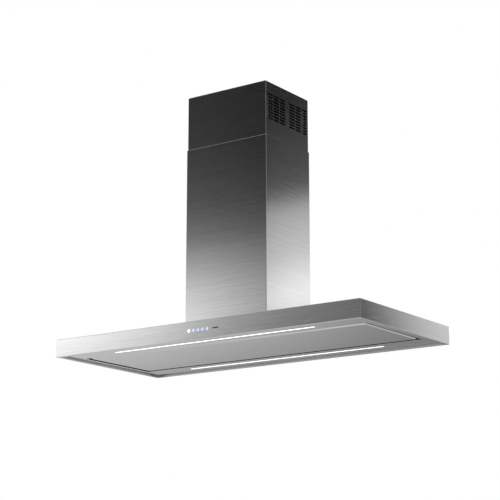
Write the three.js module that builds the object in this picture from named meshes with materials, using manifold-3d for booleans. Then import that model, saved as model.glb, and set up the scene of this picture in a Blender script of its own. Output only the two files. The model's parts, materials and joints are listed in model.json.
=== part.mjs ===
// Island range hood that hangs from a ceiling: a telescopic chimney over a flat steel canopy.
// Millimetres, +Z up. The origin is the centre of the ceiling plate's top face, so the hood
// hangs below Z = 0. +X runs along the canopy, and the controls face -Y.

import * as THREE from 'three';
import { mergeVertices } from 'three/addons/utils/BufferGeometryUtils.js';
import Module from 'manifold-3d';

const wasm = await Module();
wasm.setup();

// ---------------------------------------------------------------- driving dimensions

const HOOD_DROP = 875;            // ceiling to the canopy's lower edge
const CANOPY_LENGTH = 1200;
const CANOPY_DEPTH = 550;
const CANOPY_HEIGHT = 60;
const SHEET = 1.2;                // steel sheet of the casings
const THIN_SHEET = 1;             // steel sheet of the underside parts
const GAP = 0.3;                  // clearance between neighbouring pieces

const CHIMNEY_LENGTH = 326;       // lower cover, outside
const CHIMNEY_DEPTH = 258;
const COVER_SLIDE_GAP = 1;        // between the telescoping covers
const COVER_SEAM = 187.5;         // ceiling to the lower cover's upper edge
const UPPER_COVER_END = 500;      // ceiling to the upper cover's lower edge

const LIP_WIDTH = 12;             // canopy's bottom return lip
const UNDERSIDE_RECESS = 5.5;     // light frame above the canopy's lower edge
const SUCTION_LENGTH = 1118;      // opening in the light frame
const SUCTION_DEPTH = 342;
const SUCTION_GAP = 14;           // slot round the perimeter panel
const PANEL_EDGE = 13;            // height of the panel's folded edge

const LAMP_LENGTH = 790;
const LAMP_WIDTH = 10;
const LAMP_INSET = 68;            // lamp centre from the canopy's front and back edges

const FRAME_LENGTH = 300;         // telescopic frame, outside of the upper legs
const FRAME_DEPTH = 232;
const LEG_WIDTH = 20;
const LEG_SHEET = 2;
const UPPER_LEG_END = 560;
const LOWER_LEG_TOP = 280;
const RAISE_TRAVEL = 60;
const LOWER_TRAVEL = 200;

const DUCT_RADIUS = 75;           // 150 mm ducting
const SEGMENTS = 40;
const SMALL_SEGMENTS = 16;

// levels worked out from the driving dimensions
const CANOPY_BOTTOM = -HOOD_DROP;
const CANOPY_TOP = CANOPY_BOTTOM + CANOPY_HEIGHT;
const FRAME_PLATE_BOTTOM = CANOPY_BOTTOM + UNDERSIDE_RECESS;
const FRAME_PLATE_TOP = FRAME_PLATE_BOTTOM + THIN_SHEET;
const PLENUM_BOTTOM = CANOPY_BOTTOM + 27;
const PLENUM_TOP = CANOPY_TOP - SHEET - GAP;
const COVER_TOP = -2;
const PANEL_LENGTH = SUCTION_LENGTH - 2 * SUCTION_GAP;
const PANEL_DEPTH = SUCTION_DEPTH - 2 * SUCTION_GAP;
const LAMP_Y = CANOPY_DEPTH / 2 - LAMP_INSET;

// ---------------------------------------------------------------- finishes

const finish = (color, roughness, metalness) => ({ color, roughness, metalness });
const BRUSHED_STEEL = finish(0xb9babb, 0.32, 1);
const GALVANISED = finish(0x9fa3a6, 0.5, 1);
const ZINC_SCREW = finish(0xc4c6c8, 0.3, 1);
const ALUMINIUM = finish(0xc9cbcd, 0.4, 1);
const DUCT_FOIL = finish(0xa9acae, 0.45, 1);
const BLACK_PLASTIC = finish(0x1c1d1f, 0.5, 0);
const GREY_PLASTIC = finish(0x6d7073, 0.55, 0);
const LAMP_DIFFUSER = finish(0xf7f9ff, 0.4, 0);
const CIRCUIT_BOARD = finish(0x1f5a37, 0.5, 0);
const LIT_WHITE = finish(0xf4f7ff, 0.35, 0);
const LIT_BLUE = finish(0xcfe0ff, 0.35, 0);

// ---------------------------------------------------------------- solid helpers

function solid(geometry) {
  const bare = geometry.clone();
  for (const name of Object.keys(bare.attributes)) {
    if (name !== 'position') bare.deleteAttribute(name);
  }
  const merged = mergeVertices(bare, 1e-4);
  return new wasm.Manifold(new wasm.Mesh({
    numProp: 3,
    vertProperties: new Float32Array(merged.attributes.position.array),
    triVerts: new Uint32Array(merged.index.array),
  }));
}

function block(x, y, z) {
  const geometry = new THREE.BoxGeometry(x[1] - x[0], y[1] - y[0], z[1] - z[0]);
  geometry.translate((x[0] + x[1]) / 2, (y[0] + y[1]) / 2, (z[0] + z[1]) / 2);
  return solid(geometry);
}

// a block centred on X and Y
function slab(length, depth, z0, z1, cx = 0, cy = 0) {
  return block([cx - length / 2, cx + length / 2], [cy - depth / 2, cy + depth / 2], [z0, z1]);
}

// a round bar from one end to the other along the named axis, centred on the point across it
function bar(axis, radius, from, to, centre = [0, 0], segments = SEGMENTS) {
  const geometry = new THREE.CylinderGeometry(radius, radius, to - from, segments);
  const middle = (from + to) / 2;
  if (axis === 'x') {
    geometry.rotateZ(-Math.PI / 2);
    geometry.translate(middle, centre[0], centre[1]);
  } else if (axis === 'y') {
    geometry.translate(centre[0], middle, centre[1]);
  } else {
    geometry.rotateX(Math.PI / 2);
    geometry.translate(centre[0], centre[1], middle);
  }
  return solid(geometry);
}

// a turned piece along Z: the profile's [radius, z] points close on themselves or on the axis
function turned(profile, segments = SEGMENTS) {
  const points = profile.map(([radius, z]) => new THREE.Vector2(radius, z));
  const geometry = new THREE.LatheGeometry(points, segments);
  geometry.rotateX(Math.PI / 2);
  return solid(geometry);
}

// a flat outline in the YZ plane, extruded along X
function extrudedAlongX(points, x0, x1) {
  const shape = new THREE.Shape(points.map(([y, z]) => new THREE.Vector2(y, z)));
  const geometry = new THREE.ExtrudeGeometry(shape, { depth: x1 - x0, bevelEnabled: false });
  geometry.applyMatrix4(new THREE.Matrix4().set(
    0, 0, 1, x0,
    1, 0, 0, 0,
    0, 1, 0, 0,
    0, 0, 0, 1,
  ));
  return solid(geometry);
}

function join(first, ...others) {
  return others.reduce((whole, part) => whole.add(part), first);
}

function cut(first, ...tools) {
  return tools.reduce((left, tool) => left.subtract(tool), first);
}

// an open rectangular tube: outer size, wall thickness and the two ends
function rectangularTube(length, depth, wall, z0, z1) {
  const bore = slab(length - 2 * wall, depth - 2 * wall, z0 - 1, z1 + 1);
  return cut(slab(length, depth, z0, z1), bore);
}

const hood = new THREE.Group();

function addPart(name, manifold, look) {
  const { vertProperties, triVerts } = manifold.getMesh();
  const geometry = new THREE.BufferGeometry();
  geometry.setAttribute('position', new THREE.BufferAttribute(new Float32Array(vertProperties), 3));
  geometry.setIndex(new THREE.BufferAttribute(new Uint32Array(triVerts), 1));
  geometry.computeVertexNormals();
  const mesh = new THREE.Mesh(geometry, new THREE.MeshStandardMaterial(look));
  mesh.name = name;
  hood.add(mesh);
}

// the four corners, as signs of X and Y
const CORNERS = [[-1, -1], [1, -1], [1, 1], [-1, 1]];

// ---------------------------------------------------------------- ceiling plate and cover

const UPPER_LENGTH = CHIMNEY_LENGTH - 2 * SHEET - 2 * COVER_SLIDE_GAP;
const UPPER_DEPTH = CHIMNEY_DEPTH - 2 * SHEET - 2 * COVER_SLIDE_GAP;
const CEILING_PLATE_LENGTH = UPPER_LENGTH - 2 * SHEET - 2;
const CEILING_PLATE_DEPTH = UPPER_DEPTH - 2 * SHEET - 2;
const CEILING_PLATE_THICKNESS = 3;
const CEILING_FLANGE = 25;
const ANCHOR_SPACING = [240, 170];
const ANCHOR_RADIUS = 4;
const SCREW_LEVEL = -14;
const SCREW_HOLE_RADIUS = 2.4;

function screwHoles() {
  const reach = UPPER_LENGTH / 2 + 5;
  return bar('x', SCREW_HOLE_RADIUS, -reach, reach, [0, SCREW_LEVEL], SMALL_SEGMENTS);
}

function ceilingPlate() {
  const inner = CEILING_PLATE_THICKNESS;
  const tray = cut(
    slab(CEILING_PLATE_LENGTH, CEILING_PLATE_DEPTH, -CEILING_FLANGE, 0),
    slab(CEILING_PLATE_LENGTH - 4, CEILING_PLATE_DEPTH - 4, -CEILING_FLANGE - 1, -inner),
  );
  const anchors = CORNERS.map(([sx, sy]) => bar(
    'z', ANCHOR_RADIUS, -10, 10, [sx * ANCHOR_SPACING[0] / 2, sy * ANCHOR_SPACING[1] / 2],
    SMALL_SEGMENTS,
  ));
  return cut(tray, ...anchors, screwHoles());
}

// punched air slots in both short sides of the upper cover: two groups of rows and columns
const VENT_TOP = -42;
const VENT_ROWS = 9;
const VENT_PITCH = 10.2;
const VENT_SLOT = [32, 5];
const VENT_COLUMNS = 3;
const VENT_WEB = 5;
const VENT_GROUP_START = 11.5;

function ventSlots() {
  const slots = [];
  const reach = UPPER_LENGTH / 2 + 5;
  for (const side of [-1, 1]) {
    for (let column = 0; column < VENT_COLUMNS; column += 1) {
      const near = VENT_GROUP_START + column * (VENT_SLOT[0] + VENT_WEB);
      const span = [side * near, side * (near + VENT_SLOT[0])].sort((a, b) => a - b);
      for (let row = 0; row < VENT_ROWS; row += 1) {
        const top = VENT_TOP - row * VENT_PITCH;
        slots.push(block([-reach, reach], span, [top - VENT_SLOT[1], top]));
      }
    }
  }
  return slots;
}

function upperChimneyCover() {
  const tube = rectangularTube(UPPER_LENGTH, UPPER_DEPTH, SHEET, -UPPER_COVER_END, COVER_TOP);
  return cut(tube, ...ventSlots(), screwHoles());
}

function coverScrew(side) {
  const wall = UPPER_LENGTH / 2;
  const place = [0, SCREW_LEVEL];
  const head = bar('x', 3.6, wall + GAP, wall + GAP + 1.6, place, SMALL_SEGMENTS);
  const shank = bar('x', 2, wall - 10, wall + GAP + 1, place, SMALL_SEGMENTS);
  const screw = join(head, shank);
  return screw.scale([side, 1, 1]);
}

// ---------------------------------------------------------------- telescopic frame

const LEG_SLOT_WIDTH = 7;
const BOLT_LEVEL = -(UPPER_LEG_END - 15);
const BOLT_INSET = 11;
const LOWER_LEG_BOTTOM = CANOPY_TOP + 2.6;
const LEG_STEP = LEG_SHEET + GAP;

// an L-shaped leg whose outer corner points to the given corner of the frame
function angleLeg([sx, sy], cornerX, cornerY, width, z0, z1) {
  const inwardX = [cornerX - width, cornerX];
  const inwardY = [cornerY - width, cornerY];
  const outer = block(inwardX, inwardY, [z0, z1]);
  const hollow = block(
    [cornerX - width - 1, cornerX - LEG_SHEET],
    [cornerY - width - 1, cornerY - LEG_SHEET],
    [z0 - 1, z1 + 1],
  );
  return cut(outer, hollow).scale([sx, sy, 1]);
}

function upperLeg([sx, sy]) {
  const leg = angleLeg(
    [sx, sy], FRAME_LENGTH / 2, FRAME_DEPTH / 2, LEG_WIDTH,
    -UPPER_LEG_END, -CEILING_PLATE_THICKNESS - GAP,
  );
  const boltY = sy * (FRAME_DEPTH / 2 - BOLT_INSET);
  const x = sx * FRAME_LENGTH / 2;
  return cut(leg, bar('x', 3.4, x - 6, x + 6, [boltY, BOLT_LEVEL], SMALL_SEGMENTS));
}

function lowerLeg([sx, sy]) {
  const leg = angleLeg(
    [sx, sy], FRAME_LENGTH / 2 - LEG_STEP, FRAME_DEPTH / 2 - LEG_STEP, LEG_WIDTH - LEG_STEP,
    LOWER_LEG_BOTTOM, -LOWER_LEG_TOP,
  );
  const boltY = sy * (FRAME_DEPTH / 2 - BOLT_INSET);
  const x = sx * FRAME_LENGTH / 2;
  const margin = 8;
  const slot = block(
    [x - 8, x + 8],
    [boltY - LEG_SLOT_WIDTH / 2, boltY + LEG_SLOT_WIDTH / 2],
    [BOLT_LEVEL - RAISE_TRAVEL - margin, BOLT_LEVEL + LOWER_TRAVEL + margin],
  );
  return cut(leg, slot);
}

function legBolt([sx, sy]) {
  const outside = FRAME_LENGTH / 2 + GAP;
  const inside = FRAME_LENGTH / 2 - LEG_STEP - LEG_SHEET - GAP;
  const boltY = sy * (FRAME_DEPTH / 2 - BOLT_INSET);
  const place = [boltY, BOLT_LEVEL];
  const head = bar('x', 5.6, outside, outside + 4, place, 6);
  const shank = bar('x', 3, inside - 6, outside + 1, place, SMALL_SEGMENTS);
  const nut = bar('x', 5.6, inside - 4.6, inside, place, 6);
  const bolt = join(head, shank, nut);
  return bolt.scale([sx, 1, 1]);
}

function frameBrace(side) {
  const face = FRAME_DEPTH / 2 + GAP;
  const span = side > 0 ? [face, face + LEG_SHEET] : [-face - LEG_SHEET, -face];
  return block([-FRAME_LENGTH / 2, FRAME_LENGTH / 2], span, [-UPPER_LEG_END, -UPPER_LEG_END + 22]);
}

function baseFrame() {
  const length = FRAME_LENGTH + 10;
  const depth = FRAME_DEPTH + 10;
  const z0 = CANOPY_TOP + GAP;
  return cut(
    slab(length, depth, z0, z0 + LEG_SHEET),
    slab(BLOWER_BOX[0] + 4, BLOWER_BOX[1] + 4, z0 - 1, z0 + LEG_SHEET + 1),
  );
}

// ---------------------------------------------------------------- air path

const BLOWER_BOX = [248, 214];
const BLOWER_BOX_TOP = CANOPY_TOP + 220;
const BLOWER_BOX_BOTTOM = CANOPY_TOP + GAP;
const AIR_INLET = [200, 180];
const COLLAR_TOP = BLOWER_BOX_TOP + 50;
const FLAP_LEVEL = BLOWER_BOX_TOP + 20;
const COLLAR_WALL = 2;
const DEFLECTOR_BOTTOM = -138;
const DEFLECTOR_TOP = -28;
const DEFLECTOR_DEPTH = 184;
const DEFLECTOR_WALL = 2.5;
const SPIGOT_END = -188;
const SPIGOT_OVERLAP = 28;
const DUCT_WALL = 2;

function airDeflector() {
  const length = UPPER_LENGTH - 2 * SHEET - 6;
  const wall = DEFLECTOR_WALL;
  const shell = slab(length, DEFLECTOR_DEPTH, DEFLECTOR_BOTTOM, DEFLECTOR_TOP);
  const spigot = bar('z', DUCT_RADIUS, SPIGOT_END, DEFLECTOR_BOTTOM + 1);
  const passage = slab(
    length + 2, DEFLECTOR_DEPTH - 2 * wall, DEFLECTOR_BOTTOM + wall, DEFLECTOR_TOP - wall,
  );
  const bore = bar('z', DUCT_RADIUS - wall, SPIGOT_END - 1, DEFLECTOR_BOTTOM + 2 * wall);
  return cut(join(shell, spigot), passage, bore);
}

function flexibleDuct() {
  const inner = DUCT_RADIUS + GAP;
  const outer = inner + DUCT_WALL;
  const top = SPIGOT_END + SPIGOT_OVERLAP - 2;
  const bottom = COLLAR_TOP - 20;
  return turned([[inner, bottom], [outer, bottom], [outer, top], [inner, top], [inner, bottom]]);
}

function blowerBox() {
  const shell = slab(...BLOWER_BOX, BLOWER_BOX_BOTTOM, BLOWER_BOX_TOP);
  const hollow = slab(
    BLOWER_BOX[0] - 2 * THIN_SHEET, BLOWER_BOX[1] - 2 * THIN_SHEET,
    BLOWER_BOX_BOTTOM - 1, BLOWER_BOX_TOP - THIN_SHEET,
  );
  const outlet = bar('z', DUCT_RADIUS - 4, BLOWER_BOX_TOP - 5, BLOWER_BOX_TOP + 5);
  return cut(shell, hollow, outlet);
}

function outletCollar() {
  const inner = DUCT_RADIUS - COLLAR_WALL;
  const base = BLOWER_BOX_TOP + GAP;
  const ring = turned([
    [inner, base], [DUCT_RADIUS + 10, base], [DUCT_RADIUS + 10, base + 2],
    [DUCT_RADIUS, base + 2], [DUCT_RADIUS, COLLAR_TOP], [inner, COLLAR_TOP], [inner, base],
  ]);
  const pin = bar('y', 1.5, -inner - 1, inner + 1, [0, FLAP_LEVEL], SMALL_SEGMENTS);
  return join(ring, pin);
}

// one half of the back-draught damper, lying shut beside the collar's pin
function damperFlap(side) {
  const radius = DUCT_RADIUS - COLLAR_WALL - 2.5;
  const disc = bar('z', radius, FLAP_LEVEL - 0.5, FLAP_LEVEL + 0.5);
  const reach = radius + 1;
  const x = side > 0 ? [2.4, reach] : [-reach, -2.4];
  return disc.intersect(block(x, [-reach, reach], [FLAP_LEVEL - 2, FLAP_LEVEL + 2]));
}

const SCROLL_CENTRE = CANOPY_TOP + 103;
const SCROLL_HALF_WIDTH = 70;
const SCROLL_WALL = 2;
const SCROLL_OUTLET = 104;        // outlet edge above the scroll's centre
const INLET_RADIUS = 62;

// snail outline in YZ round the scroll's centre: a spiral, then the straight outlet throat
function scrollOutline(inset, outletTop) {
  const points = [];
  const steps = 30;
  const start = Math.PI / 3;
  for (let i = 0; i <= steps; i += 1) {
    const share = i / steps;
    const angle = start + share * (2 * Math.PI - start);
    const radius = 84 + 14 * share - inset;
    points.push([radius * Math.cos(angle), SCROLL_CENTRE + radius * Math.sin(angle)]);
  }
  const throat = points[0][0];
  points.push([98 - inset, outletTop], [throat, outletTop]);
  return points;
}

function blowerHousing() {
  const outletTop = SCROLL_CENTRE + SCROLL_OUTLET;
  const outer = extrudedAlongX(
    scrollOutline(0, outletTop), -SCROLL_HALF_WIDTH, SCROLL_HALF_WIDTH,
  );
  const inner = extrudedAlongX(
    scrollOutline(SCROLL_WALL, outletTop + 5),
    -SCROLL_HALF_WIDTH + SCROLL_WALL, SCROLL_HALF_WIDTH - SCROLL_WALL,
  );
  const inlets = bar(
    'x', INLET_RADIUS, -SCROLL_HALF_WIDTH - 1, SCROLL_HALF_WIDTH + 1, [0, SCROLL_CENTRE],
  );
  return cut(outer, inner, inlets);
}

const WHEEL_RADIUS = 75;
const WHEEL_HALF_WIDTH = 60;
const BLADE_COUNT = 24;
const MOTOR_RADIUS = 34;
const MOTOR_FACE = -6;
const SHAFT_RADIUS = 4;

function impeller() {
  const centre = [0, SCROLL_CENTRE];
  const inner = WHEEL_RADIUS - 16;
  const ring = (x0) => cut(
    bar('x', WHEEL_RADIUS, x0, x0 + 2, centre),
    bar('x', inner, x0 - 1, x0 + 3, centre),
  );
  const pieces = [
    bar('x', WHEEL_RADIUS, -3, -1, centre),
    bar('x', 9, -5, 12, centre, SMALL_SEGMENTS),
    bar('x', SHAFT_RADIUS, -18, 14, centre, SMALL_SEGMENTS),
    ring(-WHEEL_HALF_WIDTH),
    ring(WHEEL_HALF_WIDTH - 2),
  ];
  for (let i = 0; i < BLADE_COUNT; i += 1) {
    const blade = new THREE.BoxGeometry(2 * WHEEL_HALF_WIDTH - 2, 13, 1);
    blade.rotateX(Math.PI / 5);
    blade.translate(0, WHEEL_RADIUS - 8, 0);
    blade.rotateX(i * 2 * Math.PI / BLADE_COUNT);
    blade.translate(0, 0, SCROLL_CENTRE);
    pieces.push(solid(blade));
  }
  return join(...pieces);
}

// motor on a three-armed bracket that rests on the left inlet's rim
function blowerMotor() {
  const centre = [0, SCROLL_CENTRE];
  const wall = -SCROLL_HALF_WIDTH - GAP;
  const body = bar('x', MOTOR_RADIUS, wall - 2, MOTOR_FACE, centre);
  const rim = cut(
    bar('x', INLET_RADIUS + 12, wall - 2.5, wall, centre),
    bar('x', INLET_RADIUS, wall - 4, wall + 1, centre),
  );
  const arms = [];
  for (let i = 0; i < 3; i += 1) {
    const arm = new THREE.BoxGeometry(2.5, INLET_RADIUS - MOTOR_RADIUS + 8, 12);
    arm.translate(wall - 1.25, (INLET_RADIUS + MOTOR_RADIUS) / 2, 0);
    arm.rotateX(Math.PI / 2 + i * 2 * Math.PI / 3);
    arm.translate(0, 0, SCROLL_CENTRE);
    arms.push(solid(arm));
  }
  const bearing = bar('x', SHAFT_RADIUS + 0.4, -20, 0, centre, SMALL_SEGMENTS);
  return cut(join(body, rim, ...arms), bearing);
}

// ---------------------------------------------------------------- canopy

const BUTTON_LEVEL = CANOPY_BOTTOM + 29.6;
const BUTTON_RADIUS = 4.5;
const BUTTON_X = [-36, -18, 0, 18, 36];
const BUTTON_FLANGE = 5.8;
const BUTTON_SEGMENTS = 20;
const WINDOW = { x: 69, length: 22, height: 3.4 };
const FRONT = -CANOPY_DEPTH / 2;

function canopyShell() {
  const outer = slab(CANOPY_LENGTH, CANOPY_DEPTH, CANOPY_BOTTOM, CANOPY_TOP);
  const inner = slab(
    CANOPY_LENGTH - 2 * SHEET, CANOPY_DEPTH - 2 * SHEET,
    CANOPY_BOTTOM + SHEET, CANOPY_TOP - SHEET,
  );
  const underside = slab(
    CANOPY_LENGTH - 2 * LIP_WIDTH, CANOPY_DEPTH - 2 * LIP_WIDTH,
    CANOPY_BOTTOM - 1, CANOPY_BOTTOM + SHEET + 1,
  );
  const airInlet = slab(...AIR_INLET, CANOPY_TOP - SHEET - 1, CANOPY_TOP + 1);
  const buttonHoles = BUTTON_X.map((x) => bar(
    'y', BUTTON_RADIUS + 0.4, FRONT - 2, FRONT + 4, [x, BUTTON_LEVEL], BUTTON_SEGMENTS,
  ));
  const windowSlot = block(
    [WINDOW.x - WINDOW.length / 2 - GAP, WINDOW.x + WINDOW.length / 2 + GAP],
    [FRONT - 2, FRONT + 4],
    [BUTTON_LEVEL - WINDOW.height / 2 - GAP, BUTTON_LEVEL + WINDOW.height / 2 + GAP],
  );
  return cut(outer, inner, underside, airInlet, ...buttonHoles, windowSlot);
}

// recessed underside plate with the suction opening and the two lamp slots
function lightFrame() {
  const length = CANOPY_LENGTH - 2 * SHEET - 2 * GAP;
  const depth = CANOPY_DEPTH - 2 * SHEET - 2 * GAP;
  const plate = slab(length, depth, FRAME_PLATE_BOTTOM, FRAME_PLATE_TOP);
  const opening = slab(
    SUCTION_LENGTH, SUCTION_DEPTH, FRAME_PLATE_BOTTOM - 1, FRAME_PLATE_TOP + 1,
  );
  const lampSlots = [-1, 1].map((side) => slab(
    LAMP_LENGTH + 2 * GAP, LAMP_WIDTH + 2 * GAP,
    FRAME_PLATE_BOTTOM - 1, FRAME_PLATE_TOP + 1, 0, side * LAMP_Y,
  ));
  return cut(plate, opening, ...lampSlots);
}

// upright wall of the suction opening, from the light frame up to the filter box
function suctionCollar() {
  return rectangularTube(
    SUCTION_LENGTH + 2 * THIN_SHEET, SUCTION_DEPTH + 2 * THIN_SHEET, THIN_SHEET,
    FRAME_PLATE_TOP + GAP, PLENUM_BOTTOM - GAP,
  );
}

const CHANNEL_BOTTOM = FRAME_PLATE_TOP + GAP;
const CHANNEL_HEIGHT = 12;
const CHANNEL_WIDTH = 20;
const DIFFUSER_FLANGE = 15;

function lampDiffuser(y) {
  const strip = slab(LAMP_LENGTH, LAMP_WIDTH, FRAME_PLATE_BOTTOM, CHANNEL_BOTTOM + 2, 0, y);
  const flange = slab(LAMP_LENGTH + 6, DIFFUSER_FLANGE, CHANNEL_BOTTOM, CHANNEL_BOTTOM + 1.6, 0, y);
  return join(strip, flange);
}

function lampChannel(y) {
  const length = LAMP_LENGTH + 10;
  const inner = CHANNEL_WIDTH - 3;
  return cut(
    slab(length, CHANNEL_WIDTH, CHANNEL_BOTTOM, CHANNEL_BOTTOM + CHANNEL_HEIGHT, 0, y),
    slab(length + 2, inner, CHANNEL_BOTTOM - 1, CHANNEL_BOTTOM + CHANNEL_HEIGHT - 1.5, 0, y),
  );
}

// ---------------------------------------------------------------- filters and their box

const PLENUM_LENGTH = 1130;
const PLENUM_DEPTH = 360;
const FILTER = { length: 320, depth: 270, height: 9, pitch: 345, bottom: CANOPY_BOTTOM + 23 };
const FILTER_SIDES = [-1, 0, 1];
const FILTER_NAMES = ['left', 'middle', 'right'];
const HINGE_Y = 150;
const HINGE_Z = CANOPY_BOTTOM + 17;
const HINGE_PIN_RADIUS = 2.5;
const HINGE_X = 515;

function plenumBox() {
  const shell = slab(PLENUM_LENGTH, PLENUM_DEPTH, PLENUM_BOTTOM, PLENUM_TOP);
  const hollow = slab(
    PLENUM_LENGTH - 2 * THIN_SHEET, PLENUM_DEPTH - 2 * THIN_SHEET,
    PLENUM_BOTTOM + THIN_SHEET, PLENUM_TOP + 1,
  );
  const windows = FILTER_SIDES.map((side) => slab(
    FILTER.length + 4, FILTER.depth + 4, PLENUM_BOTTOM - 1, PLENUM_BOTTOM + 3,
    side * FILTER.pitch, 0,
  ));
  const ears = [];
  for (const side of [-1, 1]) {
    for (const offset of [-9, 9]) {
      const x = side * HINGE_X + offset;
      ears.push(block([x - 1, x + 1], [HINGE_Y - 4, HINGE_Y + 4], [HINGE_Z - 4, PLENUM_BOTTOM + 1]));
    }
  }
  const pinHole = bar(
    'x', HINGE_PIN_RADIUS + GAP, -HINGE_X - 20, HINGE_X + 20, [HINGE_Y, HINGE_Z],
    SMALL_SEGMENTS,
  );
  return cut(join(cut(shell, hollow, ...windows), ...ears), pinHole);
}

function hingePin(side) {
  const x = side * HINGE_X;
  return bar('x', HINGE_PIN_RADIUS, x - 13, x + 13, [HINGE_Y, HINGE_Z], SMALL_SEGMENTS);
}

function magnetCatch(side) {
  const x = side * (HINGE_X + 9);
  return block(
    [x - 11, x + 11], [-138, -124], [FRAME_PLATE_TOP + 0.4, PLENUM_BOTTOM - GAP],
  );
}

// folded steel tray that closes the suction opening up to the slot all round
function perimeterPanel() {
  const z0 = FRAME_PLATE_BOTTOM;
  const tray = cut(
    slab(PANEL_LENGTH, PANEL_DEPTH, z0, z0 + PANEL_EDGE),
    slab(
      PANEL_LENGTH - 2 * THIN_SHEET, PANEL_DEPTH - 2 * THIN_SHEET,
      z0 + THIN_SHEET, z0 + PANEL_EDGE + 1,
    ),
  );
  const parts = [];
  const notches = [];
  for (const side of [-1, 1]) {
    const x = side * HINGE_X;
    parts.push(block([x - 1.5, x + 1.5], [HINGE_Y - 6, HINGE_Y + 4], [z0 + 0.5, HINGE_Z + 5]));
    notches.push(block(
      [x - 17, x + 17], [PANEL_DEPTH / 2 - 3, PANEL_DEPTH / 2 + 1],
      [z0 + THIN_SHEET, z0 + PANEL_EDGE + 1],
    ));
  }
  const pinHole = bar(
    'x', HINGE_PIN_RADIUS + GAP, -HINGE_X - 5, HINGE_X + 5, [HINGE_Y, HINGE_Z],
    SMALL_SEGMENTS,
  );
  return cut(join(cut(tray, ...notches), ...parts), pinHole);
}

// framed filter: a rim round a thinner mesh pack
function greaseFilter(side) {
  const x = side * FILTER.pitch;
  const z0 = FILTER.bottom;
  const z1 = z0 + FILTER.height;
  const border = 14;
  const rim = slab(FILTER.length, FILTER.depth, z0, z1, x);
  const recess = (a, b) => slab(FILTER.length - 2 * border, FILTER.depth - 2 * border, a, b, x);
  return cut(rim, recess(z0 - 1, z0 + 1.5), recess(z1 - 1.5, z1 + 1));
}

// thumb latch under the filter's front rim
function filterLatch(side) {
  const x = side * FILTER.pitch;
  const y0 = -FILTER.depth / 2 + 1.5;
  const top = FILTER.bottom - GAP;
  const plate = block([x - 22, x + 22], [y0, y0 + 9], [top - 2, top]);
  const thumb = block([x - 12, x + 12], [y0 + 5, y0 + 7.5], [top - 8, top - 1]);
  return join(plate, thumb);
}

// ---------------------------------------------------------------- controls and wiring boxes

const SHEET_BACK = FRONT + SHEET;
const HOUSING = { x: [-52, 86], y: [SHEET_BACK + GAP, FRONT + 17], z: [-15, 15] };

function controlHousing() {
  const z = HOUSING.z.map((offset) => BUTTON_LEVEL + offset);
  const inX = [HOUSING.x[0] + 2, HOUSING.x[1] - 2];
  const inZ = [z[0] + 2, z[1] - 2];
  const webFront = SHEET_BACK + 3.2;
  const webBack = webFront + 1.6;
  const shell = block(HOUSING.x, HOUSING.y, z);
  const front = block(inX, [HOUSING.y[0] - 1, webFront], inZ);
  const back = block(inX, [webBack, HOUSING.y[1] + 1], inZ);
  const stems = BUTTON_X.map((x) => bar(
    'y', 2.6, HOUSING.y[0] - 1, HOUSING.y[1] + 1, [x, BUTTON_LEVEL], SMALL_SEGMENTS,
  ));
  return cut(shell, front, back, ...stems);
}

function controlBoard() {
  return block(
    [HOUSING.x[0] + 3, HOUSING.x[1] - 3], [FRONT + 13.5, FRONT + 15.1],
    [BUTTON_LEVEL - 12, BUTTON_LEVEL + 12],
  );
}

// button turned about Y: cap through the casing, retaining flange behind it, stem to the switch
function pushButton(x) {
  const profile = [
    [0, -0.5], [3.9, -0.5], [BUTTON_RADIUS, 0.1], [BUTTON_RADIUS, SHEET + GAP],
    [BUTTON_FLANGE, SHEET + GAP], [BUTTON_FLANGE, SHEET + GAP + 1], [2, SHEET + GAP + 1],
    [2, 11.5], [0, 11.5],
  ];
  const points = profile.map(([radius, y]) => new THREE.Vector2(radius, y));
  const geometry = new THREE.LatheGeometry(points, BUTTON_SEGMENTS);
  geometry.translate(x, FRONT, BUTTON_LEVEL);
  return solid(geometry);
}

function receiverWindow() {
  const half = WINDOW.height / 2;
  const lens = block(
    [WINDOW.x - WINDOW.length / 2, WINDOW.x + WINDOW.length / 2],
    [FRONT, SHEET_BACK + 1], [BUTTON_LEVEL - half, BUTTON_LEVEL + half],
  );
  const flange = block(
    [WINDOW.x - WINDOW.length / 2 - 2, WINDOW.x + WINDOW.length / 2 + 2],
    [SHEET_BACK + GAP, SHEET_BACK + 1.6], [BUTTON_LEVEL - half - 2, BUTTON_LEVEL + half + 2],
  );
  return join(lens, flange);
}

function powerBox() {
  const x0 = BLOWER_BOX[0] / 2 + GAP;
  return block([x0, x0 + 28], [-80, 80], [CANOPY_TOP + 30, CANOPY_TOP + 170]);
}

const TERMINAL_BOX_TOP = CANOPY_TOP + 160;

function terminalBox() {
  const x0 = BLOWER_BOX[0] / 2 + GAP;
  return block([-x0 - 28, -x0], [-42, 42], [CANOPY_TOP + 90, TERMINAL_BOX_TOP]);
}

// mains cable gland, turned about Z on top of the terminal box
function cableGland() {
  const x = -(BLOWER_BOX[0] / 2 + GAP + 14);
  const z = TERMINAL_BOX_TOP + GAP;
  return turned([
    [4, z], [11, z], [11, z + 5], [9, z + 6], [9, z + 14], [7, z + 17], [4, z + 17], [4, z],
  ], SMALL_SEGMENTS).translate([x, 0, 0]);
}

// ---------------------------------------------------------------- assembly

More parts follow.
